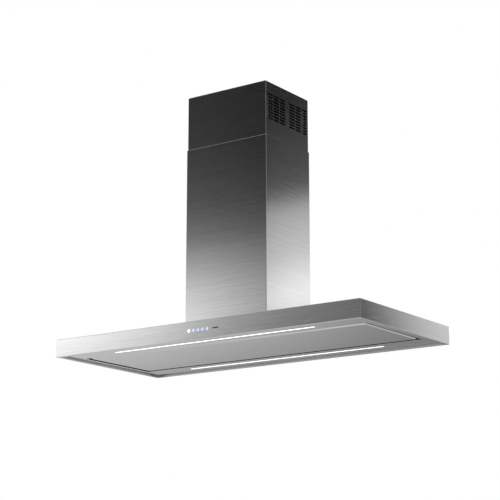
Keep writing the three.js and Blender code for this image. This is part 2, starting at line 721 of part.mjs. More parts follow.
addPart('ceiling_plate', ceilingPlate(), GALVANISED);
addPart('air_deflector', airDeflector(), GREY_PLASTIC);
addPart('upper_chimney_cover', upperChimneyCover(), BRUSHED_STEEL);
addPart('flexible_duct', flexibleDuct(), DUCT_FOIL);
addPart('frame_brace_front', frameBrace(-1), GALVANISED);
addPart('frame_brace_back', frameBrace(1), GALVANISED);
CORNERS.forEach((corner, index) => {
  const number = index + 1;
  addPart(`upper_leg_${number}`, upperLeg(corner), GALVANISED);
  addPart(`lower_leg_${number}`, lowerLeg(corner), GALVANISED);
  addPart(`leg_bolt_${number}`, legBolt(corner), ZINC_SCREW);
});
addPart('cover_screw_left', coverScrew(-1), ZINC_SCREW);
addPart('cover_screw_right', coverScrew(1), ZINC_SCREW);

addPart('lower_chimney_cover', rectangularTube(
  CHIMNEY_LENGTH, CHIMNEY_DEPTH, SHEET, CANOPY_TOP + GAP, -COVER_SEAM,
), BRUSHED_STEEL);

addPart('canopy_shell', canopyShell(), BRUSHED_STEEL);
addPart('light_frame', lightFrame(), BRUSHED_STEEL);
addPart('suction_collar', suctionCollar(), BRUSHED_STEEL);
addPart('led_diffuser_front', lampDiffuser(-LAMP_Y), LAMP_DIFFUSER);
addPart('led_diffuser_back', lampDiffuser(LAMP_Y), LAMP_DIFFUSER);
addPart('led_channel_front', lampChannel(-LAMP_Y), ALUMINIUM);
addPart('led_channel_back', lampChannel(LAMP_Y), ALUMINIUM);
addPart('plenum_box', plenumBox(), GALVANISED);
addPart('base_frame', baseFrame(), GALVANISED);
addPart('blower_box', blowerBox(), GALVANISED);
addPart('blower_housing', blowerHousing(), BLACK_PLASTIC);
addPart('blower_motor', blowerMotor(), GALVANISED);
addPart('impeller', impeller(), GREY_PLASTIC);
addPart('outlet_collar', outletCollar(), BLACK_PLASTIC);
addPart('damper_flap_left', damperFlap(-1), BLACK_PLASTIC);
addPart('damper_flap_right', damperFlap(1), BLACK_PLASTIC);
addPart('power_box', powerBox(), GREY_PLASTIC);
addPart('terminal_box', terminalBox(), GREY_PLASTIC);
addPart('cable_gland', cableGland(), BLACK_PLASTIC);

addPart('control_housing', controlHousing(), BLACK_PLASTIC);
addPart('control_board', controlBoard(), CIRCUIT_BOARD);
addPart('receiver_window', receiverWindow(), BLACK_PLASTIC);
BUTTON_X.forEach((x, index) => {
  const name = index === 0 ? 'power_button' : `key_${index}`;
  addPart(name, pushButton(x), index === 0 ? LIT_WHITE : LIT_BLUE);
});

addPart('perimeter_panel', perimeterPanel(), BRUSHED_STEEL);
[['left', -1], ['right', 1]].forEach(([name, side]) => {
  addPart(`hinge_pin_${name}`, hingePin(side), ZINC_SCREW);
  addPart(`magnet_catch_${name}`, magnetCatch(side), BLACK_PLASTIC);
});
FILTER_SIDES.forEach((side, index) => {
  addPart(`grease_filter_${FILTER_NAMES[index]}`, greaseFilter(side), ALUMINIUM);
  addPart(`filter_latch_${FILTER_NAMES[index]}`, filterLatch(side), ZINC_SCREW);
});

export default hood;
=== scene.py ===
# Island range hood: looks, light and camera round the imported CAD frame. Metres, +Z up.
from functools import partial
import json
import math

import bmesh
import bpy
from mathutils import Matrix, Vector


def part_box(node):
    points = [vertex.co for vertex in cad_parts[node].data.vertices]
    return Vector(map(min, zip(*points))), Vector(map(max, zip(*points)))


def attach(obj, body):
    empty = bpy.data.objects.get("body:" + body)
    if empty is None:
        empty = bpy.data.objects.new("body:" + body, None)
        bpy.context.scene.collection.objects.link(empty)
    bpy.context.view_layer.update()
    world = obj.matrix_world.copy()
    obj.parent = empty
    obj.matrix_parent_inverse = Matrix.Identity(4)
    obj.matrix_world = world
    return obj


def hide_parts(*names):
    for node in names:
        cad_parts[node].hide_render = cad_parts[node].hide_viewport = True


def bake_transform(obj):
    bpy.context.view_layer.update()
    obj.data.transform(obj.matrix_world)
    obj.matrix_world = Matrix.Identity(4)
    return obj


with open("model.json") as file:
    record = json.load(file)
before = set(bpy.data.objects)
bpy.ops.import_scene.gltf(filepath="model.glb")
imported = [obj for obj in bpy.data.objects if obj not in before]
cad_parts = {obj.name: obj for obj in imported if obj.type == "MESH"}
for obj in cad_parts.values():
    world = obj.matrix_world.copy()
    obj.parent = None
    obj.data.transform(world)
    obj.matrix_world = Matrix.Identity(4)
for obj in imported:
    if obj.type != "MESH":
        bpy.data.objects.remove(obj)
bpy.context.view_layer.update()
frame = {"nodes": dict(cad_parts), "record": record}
NODES = frame["nodes"]
BODY_OF = {node: body for body, members in frame["record"]["behaviour"]["bodies"].items()
           for node in members}
SLOT_OF = {part["node"]: part["material_slot"] for part in frame["record"]["subparts"]}
MM = 0.001


# ---------------------------------------------------------------- camera, light and floor

CAMERA_PLACE = (2.936, -4.134, -1.763)
CAMERA_TARGET = (0.006, 0.002, -0.532)
CAMERA_LENS = 112.2

# brightness of the studio round the hood by elevation in degrees
STUDIO = [(-90, 1.0), (-60, 0.9), (-35, 0.65), (-12, 0.68), (0, 0.85), (12, 0.8), (25, 0.5),
          (40, 0.45), (52, 1.0), (90, 1.0)]

# panels that the steel mirrors: name, low and high corner, level, brightness along X and along Z
CARDS = [
    ("card_front", (-3.2, -1.5, -0.86), (0.6, -1.5, 1.1), 1.0,
     [(-3.2, 1.45), (-1.72, 1.45), (-1.24, 1.0), (-1.15, 0.95), (-0.99, 0.72), (-0.83, 0.52),
      (-0.5, 0.3), (-0.14, 0.2), (0.6, 0.15)],
     [(-0.86, 0.9), (-0.6, 1.0), (-0.46, 1.25), (-0.32, 1.0), (-0.19, 0.6), (-0.07, 0.26),
      (0.1, 0.12), (0.36, 0.06), (0.57, 0.045), (1.1, 0.04)]),
    ("card_back", (-0.6, 1.5, -0.86), (2.6, 1.5, 0.85), 1.0,
     [(-0.6, 1.0), (1.2, 1.0), (1.25, 0.93), (1.3, 0.85), (1.37, 0.77), (1.43, 0.62),
      (1.49, 0.42), (1.55, 0.25), (1.61, 0.13), (1.67, 0.06), (2.6, 0.03)],
     [(-0.86, 0.95), (-0.6, 1.0), (-0.45, 1.15), (-0.32, 1.5), (-0.22, 1.2), (-0.13, 0.92),
      (-0.06, 0.84), (0.06, 0.66), (0.1, 0.46), (0.14, 0.22), (0.19, 0.13), (0.3, 0.1),
      (0.45, 0.07), (0.6, 0.03), (0.85, 0.02)]),
    ("card_low", (-2.6, 1.5, -1.9), (0.4, 1.5, -0.9), 1.0,
     [(-2.6, 0.75), (-1.7, 0.66), (-1.1, 0.55), (-0.7, 0.46), (-0.45, 0.38), (0.4, 0.3)],
     [(-1.9, 0.9), (-1.4, 1.1), (-1.27, 1.08), (-1.17, 0.72), (-0.9, 0.6)]),
    # a dark card on the camera's side, which keeps the near folds dark
    ("card_near", (0.62, -1.5, -0.86), (6.0, -1.5, 1.8), 0.09,
     [(0.62, 1.0), (2.5, 1.0), (6.0, 2.0)],
     [(-0.86, 1.0), (1.8, 1.0)]),
]


def grey(level):
    return (level, level, level)


def add_node(nodes, kind, **values):
    """A shader node with constant inputs, named in lower case with _ for a space."""
    node = nodes.new("ShaderNode" + kind)
    for name, value in values.items():
        node.inputs[name.replace("_", " ").title()].default_value = value
    return node


def add_ramp(nodes, stops):
    """A colour ramp with a stop at each (position, colour)."""
    ramp = add_node(nodes, "ValToRGB")
    elements = ramp.color_ramp.elements
    while len(elements) < len(stops):
        elements.new(1.0)
    for element, (position, color) in zip(elements, stops):
        element.position = position
        element.color = (*color, 1)
    return ramp


def make_camera():
    data = bpy.data.cameras.new("camera")
    data.lens = CAMERA_LENS
    data.sensor_width = 36.0
    data.clip_end = 100.0
    camera = bpy.data.objects.new("camera", data)
    bpy.context.scene.collection.objects.link(camera)
    camera.location = CAMERA_PLACE
    aim = Vector(CAMERA_TARGET) - Vector(CAMERA_PLACE)
    camera.rotation_mode = "QUATERNION"
    camera.rotation_quaternion = aim.to_track_quat("-Z", "Y")
    bpy.context.scene.camera = camera


def make_world():
    world = bpy.data.worlds.new("studio")
    world.use_nodes = True
    bpy.context.scene.world = world
    nodes, links = world.node_tree.nodes, world.node_tree.links
    nodes.clear()
    place = add_node(nodes, "TexCoord")
    split = add_node(nodes, "SeparateXYZ")
    links.new(place.outputs["Generated"], split.inputs[0])
    height = add_node(nodes, "MapRange", from_min=-1, from_max=1)
    links.new(split.outputs["Z"], height.inputs["Value"])
    ramp = add_ramp(nodes, [((math.sin(math.radians(elevation)) + 1) / 2, grey(level))
                            for elevation, level in STUDIO])
    ramp.color_ramp.interpolation = "EASE"
    links.new(height.outputs["Result"], ramp.inputs["Fac"])
    studio = add_node(nodes, "Background")
    links.new(ramp.outputs["Color"], studio.inputs["Color"])
    backdrop = add_node(nodes, "Background", color=(1, 1, 1, 1))
    rays = add_node(nodes, "LightPath")
    mix = add_node(nodes, "MixShader")
    links.new(rays.outputs["Is Camera Ray"], mix.inputs["Fac"])
    links.new(studio.outputs[0], mix.inputs[1])
    links.new(backdrop.outputs[0], mix.inputs[2])
    out = add_node(nodes, "OutputWorld")
    links.new(mix.outputs[0], out.inputs["Surface"])


def mesh_object(name, verts, faces):
    mesh = bpy.data.meshes.new(name)
    mesh.from_pydata(verts, [], faces)
    mesh.update()
    made = bpy.data.objects.new(name, mesh)
    bpy.context.scene.collection.objects.link(made)
    return made


def level_ramp(nodes, links, source, start, end, levels):
    """A colour ramp of the levels between two places on an axis, and the peak it is scaled by."""
    share = add_node(nodes, "MapRange", from_min=start, from_max=end)
    links.new(source, share.inputs["Value"])
    peak = max(value for _, value in levels)
    ramp = add_ramp(nodes, [((place - start) / (end - start), grey(value / peak))
                            for place, value in levels])
    links.new(share.outputs[0], ramp.inputs["Fac"])
    return ramp.outputs["Color"], peak


def make_card(name, low, high, level, across_levels, up_levels):
    """An upright reflector panel in the XZ plane: level times a ramp along X times one along Z."""
    points = [(low[0], low[1], low[2]), (high[0], low[1], low[2]),
              (high[0], low[1], high[2]), (low[0], low[1], high[2])]
    card = mesh_object(name, points, [(0, 1, 2, 3)])
    material = bpy.data.materials.new(name)
    material.use_nodes = True
    nodes, links = material.node_tree.nodes, material.node_tree.links
    nodes.clear()
    place = add_node(nodes, "TexCoord")
    split = add_node(nodes, "SeparateXYZ")
    links.new(place.outputs["Object"], split.inputs[0])
    across, across_peak = level_ramp(nodes, links, split.outputs["X"], low[0], high[0], across_levels)
    up, up_peak = level_ramp(nodes, links, split.outputs["Z"], low[2], high[2], up_levels)
    scale = add_node(nodes, "Math")
    scale.operation = "MULTIPLY"
    scale.inputs[1].default_value = level * across_peak * up_peak
    links.new(up, scale.inputs[0])
    glow = add_node(nodes, "Emission")
    links.new(across, glow.inputs["Color"])
    links.new(scale.outputs[0], glow.inputs["Strength"])
    out = add_node(nodes, "OutputMaterial")
    links.new(glow.outputs[0], out.inputs["Surface"])
    card.data.materials.append(material)
    card.visible_camera = False
    card.visible_shadow = False
    card.visible_diffuse = False


def make_floor():
    size, height = 150.0, -6.5
    floor = mesh_object("floor", [(-size, -size, height), (size, -size, height),
                                  (size, size, height), (-size, size, height)], [(0, 1, 2, 3)])
    material = bpy.data.materials.new("floor")
    material.use_nodes = True
    shader = material.node_tree.nodes["Principled BSDF"]
    shader.inputs["Base Color"].default_value = (0.86, 0.86, 0.86, 1)
    shader.inputs["Roughness"].default_value = 0.9
    shader.inputs["Emission Color"].default_value = (1, 1, 1, 1)
    shader.inputs["Emission Strength"].default_value = 0.35
    floor.visible_glossy = False
    floor.data.materials.append(material)


# ---------------------------------------------------------------- materials

class Finish:
    """A procedural material: helpers that add texture nodes round one Principled shader."""

    def __init__(self, name, roughness, metallic=0.0):
        self.material = bpy.data.materials.new(name)
        self.material.use_nodes = True
        self.nodes = self.material.node_tree.nodes
        self.links = self.material.node_tree.links
        self.shader = self.nodes["Principled BSDF"]
        self.shader.inputs["Roughness"].default_value = roughness
        self.shader.inputs["Metallic"].default_value = metallic
        self.place = add_node(self.nodes, "TexCoord").outputs["Object"]

    def set(self, socket, value):
        self.shader.inputs[socket].default_value = value

    def scaled(self, scale):
        """Object coordinates times one number, or times one for each axis."""
        mapping = add_node(self.nodes, "Mapping")
        mapping.inputs["Scale"].default_value = scale if isinstance(scale, tuple) else (scale,) * 3
        self.links.new(self.place, mapping.inputs["Vector"])
        return mapping.outputs["Vector"]

    def texture(self, kind, scale, output, **values):
        texture = add_node(self.nodes, kind, scale=1.0, **values)
        self.links.new(self.scaled(scale), texture.inputs["Vector"])
        return texture.outputs[output]

    def noise(self, scale, detail=3.0, rough=0.55):
        return self.texture("TexNoise", scale, "Fac", detail=detail, roughness=rough)

    def cells(self, scale, output="Color"):
        return self.texture("TexVoronoi", scale, output)

    def bricks(self, scale, mortar, width=0.5, height=0.25):
        return self.texture("TexBrick", scale, "Fac", mortar_size=mortar, brick_width=width,
                            row_height=height)

    def ramp(self, source, *stops):
        ramp = add_ramp(self.nodes, stops)
        self.links.new(source, ramp.inputs["Fac"])
        return ramp.outputs["Color"]

    def span(self, source, low, high, start=0.3, end=0.7):
        """source's range from start to end, mapped to low..high."""
        mapped = add_node(self.nodes, "MapRange", from_min=start, from_max=end, to_min=low,
                          to_max=high)
        self.links.new(source, mapped.inputs["Value"])
        return mapped.outputs["Result"]

    def mixed(self, share, first, second):
        mix = add_node(self.nodes, "Mix")
        mix.data_type = "FLOAT"
        self.links.new(share, mix.inputs["Factor"])
        self.links.new(first, mix.inputs["A"])
        self.links.new(second, mix.inputs["B"])
        return mix.outputs["Result"]

    def math(self, operation, source, value=None):
        step = add_node(self.nodes, "Math")
        step.operation = operation
        self.links.new(source, step.inputs[0])
        if value is not None:
            step.inputs[1].default_value = value
        return step

    def side_share(self):
        """1 on faces that look along X, 0 on the others."""
        geometry = add_node(self.nodes, "NewGeometry")
        split = add_node(self.nodes, "SeparateXYZ")
        self.links.new(geometry.outputs["True Normal"], split.inputs[0])
        size = self.math("ABSOLUTE", split.outputs["X"])
        return self.math("GREATER_THAN", size.outputs[0], 0.7).outputs[0]

    def color(self, source):
        self.links.new(source, self.shader.inputs["Base Color"])

    def roughness(self, source):
        self.links.new(source, self.shader.inputs["Roughness"])

    def bump(self, source, height, strength=1.0):
        bump = add_node(self.nodes, "Bump", strength=strength, distance=height)
        self.links.new(source, bump.inputs["Height"])
        self.links.new(bump.outputs["Normal"], self.shader.inputs["Normal"])


def brushed_steel():
    made = Finish("brushed_steel", 0.2, 1.0)
    side = made.side_share()
    # both noises are drawn out along Y on faces that look along X, and along X on the others
    grain = made.mixed(side, made.noise((14, 420, 420), 4, 0.6), made.noise((420, 14, 420), 4, 0.6))
    lines = made.mixed(side, made.noise((3, 1500, 1500), 2, 0.6), made.noise((1500, 3, 1500), 2, 0.6))
    line_share = 0.6
    both = made.math("MULTIPLY_ADD", lines, line_share)
    made.links.new(made.span(grain, 0.0, 0.4, 0.0, 1.0), both.inputs[2])
    made.color(made.ramp(both.outputs[0], (0.3, (0.5, 0.5, 0.502)), (0.5, (0.6, 0.6, 0.602)),
                         (0.7, (0.7, 0.7, 0.7))))
    made.roughness(made.span(grain, 0.11, 0.19))
    made.bump(both.outputs[0], 0.00003, 0.3)
    made.set("Anisotropic", 0.4)
    return made.material


def galvanised_steel():
    made = Finish("galvanised_steel", 0.42, 1.0)
    spangle = made.cells(95)
    made.color(made.ramp(spangle, (0.1, (0.40, 0.415, 0.43)), (0.5, (0.5, 0.515, 0.53)),
                         (0.9, (0.62, 0.635, 0.65))))
    made.roughness(made.span(spangle, 0.3, 0.5, 0.0, 1.0))
    made.bump(made.noise(300), 0.00008, 0.4)
    return made.material


def zinc_fastener():
    made = Finish("zinc_fastener", 0.28, 1.0)
    wear = made.noise(260, 4)
    made.color(made.ramp(wear, (0.3, (0.58, 0.585, 0.6)), (0.7, (0.74, 0.745, 0.75))))
    made.roughness(made.span(wear, 0.2, 0.36))
    made.bump(made.noise(1400), 0.00003, 0.5)
    return made.material


def aluminium():
    made = Finish("aluminium", 0.35, 1.0)
    drawn = made.noise((6, 700, 700), 3)
    made.color(made.ramp(drawn, (0.3, (0.7, 0.705, 0.71)), (0.7, (0.83, 0.835, 0.84))))
    made.roughness(made.span(made.noise(30), 0.28, 0.44))
    made.bump(drawn, 0.00004, 0.5)
    return made.material


def duct_foil():
    made = Finish("duct_foil", 0.3, 1.0)
    crease = made.cells(70, "Distance")
    made.color(made.ramp(made.noise(40, 4), (0.3, grey(0.62)), (0.7, grey(0.78))))
    made.roughness(made.span(made.noise(55), 0.2, 0.42))
    made.bump(crease, 0.0008, 0.7)
    return made.material


def black_plastic():
    made = Finish("black_plastic", 0.5)
    made.color(made.ramp(made.noise(45, 4), (0.3, grey(0.012)), (0.7, grey(0.026))))
    made.roughness(made.span(made.noise(120), 0.42, 0.6))
    made.bump(made.noise(1800, 1), 0.00008, 0.6)
    return made.material


def grey_plastic():
    made = Finish("grey_plastic", 0.5)
    made.color(made.ramp(made.noise(35, 4), (0.3, (0.145, 0.15, 0.155)),
                         (0.7, (0.185, 0.19, 0.195))))
    made.roughness(made.span(made.noise(100), 0.42, 0.6))
    made.bump(made.noise(1500, 1), 0.00008, 0.6)
    return made.material


def dark_lens():
    made = Finish("dark_lens", 0.08)
    made.color(made.ramp(made.noise(90), (0.3, (0.012, 0.008, 0.01)),
                         (0.7, (0.03, 0.014, 0.016))))
    made.roughness(made.span(made.noise(400), 0.05, 0.12))
    made.set("Coat Weight", 1.0)
    return made.material


def lamp_diffuser():
    made = Finish("lamp_diffuser", 0.35)
    made.color(made.ramp(made.noise((60, 400, 400)), (0.3, (0.9, 0.92, 0.95)), (0.7, (0.98, 0.99, 1))))
    made.bump(made.noise((900, 60, 60), 1), 0.0001, 0.4)
    made.set("Emission Color", (0.94, 0.97, 1, 1))
    made.set("Emission Strength", 1.3)
    return made.material


def circuit_board():
    made = Finish("circuit_board", 0.4)
    traces = made.bricks(160, 0.06, 1.7, 0.6)
    made.color(made.ramp(traces, (0.0, (0.01, 0.085, 0.03)), (1.0, (0.03, 0.2, 0.075))))
    made.roughness(made.span(made.noise(300), 0.32, 0.5))
    made.bump(traces, 0.00005, 0.6)
    made.set("Coat Weight", 0.4)
    return made.material


def lit(name, color, strength):
    made = Finish(name, 0.3)
    made.color(made.ramp(made.noise(700), (0.3, color), (0.7, grey(0.95))))
    made.set("Emission Color", (*color, 1))
    made.set("Emission Strength", strength)
    return made.material


def copper():
    made = Finish("copper_winding", 0.3, 1.0)
    turns = made.noise((900, 40, 900), 2)
    made.color(made.ramp(turns, (0.3, (0.42, 0.16, 0.07)), (0.7, (0.68, 0.3, 0.15))))
    made.roughness(made.span(turns, 0.22, 0.42))
    made.bump(turns, 0.0002, 0.8)
    return made.material


# near-black steel: the dark finish of the cover screws, and painted shade on the suction collar that keeps
# the slot round the panel black
def dark_steel_and_painted_shade():
    made = Finish("dark_steel_and_painted_shade", 0.55, 0.6)
    wear = made.noise(60, 4)
    made.color(made.ramp(wear, (0.3, grey(0.03)), (0.7, grey(0.06))))
    made.roughness(made.span(wear, 0.45, 0.65))
    made.bump(made.noise(900), 0.00005, 0.4)
    return made.material


def filter_pack():
    made = Finish("filter_pack", 0.45, 1.0)
    fibres = made.noise((500, 500, 60), 4)
    made.color(made.ramp(fibres, (0.3, grey(0.3)), (0.7, grey(0.6))))
    made.roughness(made.span(fibres, 0.35, 0.55))
    made.bump(fibres, 0.0006, 0.8)
    return made.material


make_camera()
make_world()
make_floor()
for card in CARDS:
    make_card(*card)
bpy.context.scene.view_settings.view_transform = "Standard"

MATERIALS = {
    "brushed_steel": brushed_steel(), "galvanised_steel": galvanised_steel(),
    "zinc_fastener": zinc_fastener(), "aluminium": aluminium(), "duct_foil": duct_foil(),
    "black_plastic": black_plastic(), "grey_plastic": grey_plastic(), "dark_lens": dark_lens(),
    "lamp_diffuser": lamp_diffuser(), "circuit_board": circuit_board(),
    "lit_white": lit("lit_white", (0.95, 0.97, 1.0), 1.4),
    "lit_blue": lit("lit_blue", (0.5, 0.58, 0.95), 0.5),
}


# ---------------------------------------------------------------- mesh tools

SHARP_ANGLE = math.radians(32)
BEVEL_ANGLE = math.radians(35)
MERGE_DISTANCE = 0.0001 * MM
SMALLEST_CORNER = 0.02 * MM       # stands for a sharp corner in an outline
POINT_RADIUS = 0.01 * MM          # stands for a radius of nought on a turned profile


def middle_of(box):
    return (box[0] + box[1]) / 2


def even_shading(piece):
    """Keeps big flat faces flat beside rounded edges: each corner's shading follows its largest face."""
    for face in piece.data.polygons:
        face.use_smooth = True
    piece.data.set_sharp_from_angle(angle=SHARP_ANGLE)
    if not piece.modifiers.get("shading"):
        weighted = piece.modifiers.new("shading", "WEIGHTED_NORMAL")
        weighted.weight = 100
        weighted.keep_sharp = True


def finish_piece(name, bm, body, slot, replaces=(), material=None):
    """Turns a bmesh into a named piece that rides on a body, with its hard edges kept sharp."""
    bmesh.ops.remove_doubles(bm, verts=bm.verts, dist=MERGE_DISTANCE)
    bmesh.ops.recalc_face_normals(bm, faces=bm.faces)
    mesh = bpy.data.meshes.new(name)
    bm.to_mesh(mesh)
    bm.free()
    piece = bpy.data.objects.new(name, mesh)
    bpy.context.scene.collection.objects.link(piece)
    even_shading(piece)
    piece.data.materials.append(material or MATERIALS[slot])
    if body:
        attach(piece, body)
    if replaces:
        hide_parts(*replaces)
    return piece


def outline(length, depth, radius, steps=4, centre=(0, 0)):
    """A rounded rectangle's points, anticlockwise, the same number whatever its size."""
    radius = max(radius, SMALLEST_CORNER)
    points = []
    for index, (sx, sy) in enumerate([(1, 1), (-1, 1), (-1, -1), (1, -1)]):
        cx = centre[0] + sx * (length / 2 - radius)
        cy = centre[1] + sy * (depth / 2 - radius)
        for step in range(steps + 1):
            angle = math.pi / 2 * (index + step / steps)
            points.append((cx + radius * math.cos(angle), cy + radius * math.sin(angle)))
    return points


def bridge(bm, first, second):
    """A row of quads between two rings."""
    count = len(first)
    for i in range(count):
        j = (i + 1) % count
        bm.faces.new((first[i], first[j], second[j], second[i]))


def loft(bm, rings, closed=False):
    """Quads between rings of equal count, with end caps, or with the ends joined if closed."""
    made = [[bm.verts.new(point) for point in ring] for ring in rings]
    for first, second in zip(made, made[1:]):
        bridge(bm, first, second)
    if closed:
        bridge(bm, made[-1], made[0])
    else:
        bm.faces.new(made[0])
        bm.faces.new(made[-1])


def frame_rings(levels, steps=4, centre=(0, 0)):
    """Rings round Z from (length, depth, corner radius, z) levels."""
    return [[(x, y, z) for x, y in outline(length, depth, radius, steps, centre)]
            for length, depth, radius, z in levels]


def inset_level(size, corner, inset, z):
    """A level for frame_rings that lies inset from the sides of a box of this size."""
    return (size.x - 2 * inset, size.y - 2 * inset, corner - inset, z)


def edge_levels(size, corner, radius, face, inward, steps, outward=True):
    """Levels of a rounded edge from a face out to the side walls, or back from the walls to the face.

    inward is the sense along Z from the face into the material."""
    levels = []
    for step in range(steps + 1):
        angle = math.pi / 2 * (step if outward else steps - step) / steps
        levels.append(inset_level(size, corner, radius * (1 - math.sin(angle)),
                                  face + inward * radius * (1 - math.cos(angle))))
    return levels


def rounded_block(bm, low, high, radius, steps=2):
    """A block with every edge rounded."""
    low, high = Vector(low), Vector(high)
    size, centre = high - low, middle_of((low, high))
    corner = radius * 1.5
    levels = edge_levels(size, corner, radius, low.z, 1, steps)
    levels += edge_levels(size, corner, radius, high.z, -1, steps, outward=False)
    loft(bm, frame_rings(levels, steps, (centre.x, centre.y)))


AXES = {
    "x": Matrix(((0, 0, 1, 0), (1, 0, 0, 0), (0, 1, 0, 0), (0, 0, 0, 1))),
    "y": Matrix(((0, 1, 0, 0), (0, 0, 1, 0), (1, 0, 0, 0), (0, 0, 0, 1))),
    "z": Matrix.Identity(4),
}


def lathe(bm, profile, centre, axis="z", flip=1, segments=32, closed=False):
    """Turns a profile of (radius, height) round an axis; closed profiles make rings."""
    turn = Matrix.Translation(centre) @ AXES[axis]
    angles = [math.tau * index / segments for index in range(segments)]
    rings = []
    for radius, height in profile:
        radius = max(radius, POINT_RADIUS)
        rings.append([turn @ Vector((radius * math.cos(a), radius * math.sin(a), flip * height))
                      for a in angles])
    loft(bm, rings, closed=closed)


def extrude_x(bm, section, x0, x1):
    """A (y, z) section drawn out along X."""
    loft(bm, [[(x, y, z) for y, z in section] for x in (x0, x1)])


def cut_holes(piece, cutters):
    """Cuts a bmesh of closed cutters out of a piece that is already in place."""
    mesh = bpy.data.meshes.new("cutters")
    bmesh.ops.recalc_face_normals(cutters, faces=cutters.faces)
    cutters.to_mesh(mesh)
    cutters.free()
    tool = bpy.data.objects.new("cutters", mesh)
    bpy.context.scene.collection.objects.link(tool)
    piece.modifiers.clear()
    modifier = piece.modifiers.new("holes", "BOOLEAN")
    modifier.operation = "DIFFERENCE"
    modifier.solver = "EXACT"
    modifier.object = tool
    bpy.context.view_layer.update()
    depsgraph = bpy.context.evaluated_depsgraph_get()
    cut = bpy.data.meshes.new_from_object(piece.evaluated_get(depsgraph))
    piece.modifiers.clear()
    piece.data = cut
    even_shading(piece)
    bpy.data.objects.remove(tool)


def refined(node, edge, segments=2, material=None):
    """A copy of a CAD node with its hard edges rounded, which stands for that node."""
    bm = bmesh.new()
    bm.from_mesh(NODES[node].data)
    bmesh.ops.remove_doubles(bm, verts=bm.verts, dist=1e-6)
    bmesh.ops.dissolve_limit(bm, angle_limit=math.radians(0.5), verts=bm.verts, edges=bm.edges)
    hard = [edge_line for edge_line in bm.edges
            if len(edge_line.link_faces) == 2 and edge_line.calc_face_angle(0) > BEVEL_ANGLE]
    bmesh.ops.bevel(bm, geom=hard, offset=edge, segments=segments, affect="EDGES", profile=0.5,
                    clamp_overlap=True)
    finish_piece(node + "_body", bm, BODY_OF[node], SLOT_OF[node], [node], material)


def screws(name, body, places, axis, flip, radius, height):
    """Hexagonal screw heads, each on its washer, at the given places."""
    bm = bmesh.new()
    washer = 0.6 * MM
    for place in places:
        lathe(bm, [(0, 0), (radius * 1.35, 0), (radius * 1.35, washer), (radius * 0.9, washer)],
              place, axis, flip, 24)
        lathe(bm, [(0, washer * 0.8), (radius, washer * 0.8), (radius, height * 0.8),
                   (radius * 0.85, height), (0, height)], place, axis, flip, 6)
    finish_piece(name, bm, body, "zinc_fastener")


# ---------------------------------------------------------------- casings

SHEET = 1.2 * MM
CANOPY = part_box("canopy_shell")
BEND = 1.6 * MM                   # outer radius of the canopy's folds
SUCTION_OPENING = (1118 * MM, 342 * MM)
HINGE_X = 515 * MM
HINGE_Y = 150 * MM
BUTTONS = ["power_button", "key_1", "key_2", "key_3", "key_4"]


def canopy_skin():
    """The canopy's folded sheet, with a return lip, the duct's air hole and the controls' openings."""
    size = CANOPY[1] - CANOPY[0]
    bottom, top = CANOPY[0].z, CANOPY[1].z
    air_hole = (200 * MM, 180 * MM, 3 * MM)
    corner, lip, steps = 1.2 * MM, 12 * MM, 4
    level = partial(inset_level, size, corner)
    levels = [(*air_hole, top), *edge_levels(size, corner, BEND, top, -1, steps),
              *edge_levels(size, corner, BEND, bottom, 1, steps, outward=False)]
    levels += [level(lip - 0.4 * MM, bottom), level(lip, bottom + 0.4 * MM),
               level(lip, bottom + SHEET - 0.3 * MM), level(lip - 0.3 * MM, bottom + SHEET),
               level(SHEET, bottom + SHEET), level(SHEET, top - SHEET), (*air_hole, top - SHEET)]
    bm = bmesh.new()
    loft(bm, frame_rings(levels), closed=True)
    piece = finish_piece("canopy_skin", bm, "hood", "brushed_steel", ["canopy_shell"])
    cutters = bmesh.new()
    radius = 4.9 * MM
    for button in BUTTONS:
        centre = middle_of(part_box(button))
        lathe(cutters, [(0, 0), (radius + 0.4 * MM, 0), (radius, 1.9 * MM), (radius, 5 * MM), (0, 5 * MM)],
              (centre.x, CANOPY[0].y - 1.5 * MM, centre.z), "y", 1, 32)
    half_length, half_height = 11.3 * MM, 2 * MM
    centre = middle_of(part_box("receiver_window"))
    rounded_block(cutters,
                  (centre.x - half_length, CANOPY[0].y - 2 * MM, centre.z - half_height),
                  (centre.x + half_length, CANOPY[0].y + 4 * MM, centre.z + half_height), 0.6 * MM)
    cut_holes(piece, cutters)


def folded_cover(name, node, rim):
    """A chimney cover: sheet folded round with bent corners and a bevelled upper rim."""
    low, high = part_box(node)
    corner, lowest_radius = 1.5 * MM, 0.35 * MM
    level = partial(inset_level, high - low, corner)
    levels = [level(0, low.z + lowest_radius), level(0, high.z - rim), level(rim, high.z),
              level(SHEET - 0.1 * MM, high.z), level(SHEET, high.z - 0.1 * MM),
              level(SHEET, low.z + lowest_radius), level(SHEET - lowest_radius, low.z),
              level(lowest_radius, low.z)]
    bm = bmesh.new()
    loft(bm, frame_rings(levels), closed=True)
    return finish_piece(name, bm, BODY_OF[node], "brushed_steel", [node])


def seam_groove(cutters, node):
    """A fine upright groove where the folded sheet's ends meet, on a cover's back."""
    low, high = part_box(node)
    half, depth = 0.3 * MM, 0.35 * MM
    x, y = 40 * MM, high.y
    loft(cutters, [[(x - half, y + 1 * MM, z), (x + half, y + 1 * MM, z), (x + half, y - depth, z),
                    (x - half, y - depth, z)] for z in (low.z - 1 * MM, high.z + 1 * MM)])


def lower_cover():
    piece = folded_cover("lower_cover_skin", "lower_chimney_cover", rim=1.05 * MM)
    cutters = bmesh.new()
    seam_groove(cutters, "lower_chimney_cover")
    cut_holes(piece, cutters)


def slot_outline(y, z, half_length, half_height, steps=5):
    """The (y, z) points of a slot with round ends."""
    points = []
    for side in (1, -1):
        for step in range(steps + 1):
            angle = side * math.pi / 2 - math.pi * step / steps
            points.append((y + side * (half_length - half_height) + half_height * math.cos(angle),
                           z + half_height * math.sin(angle)))
    return points


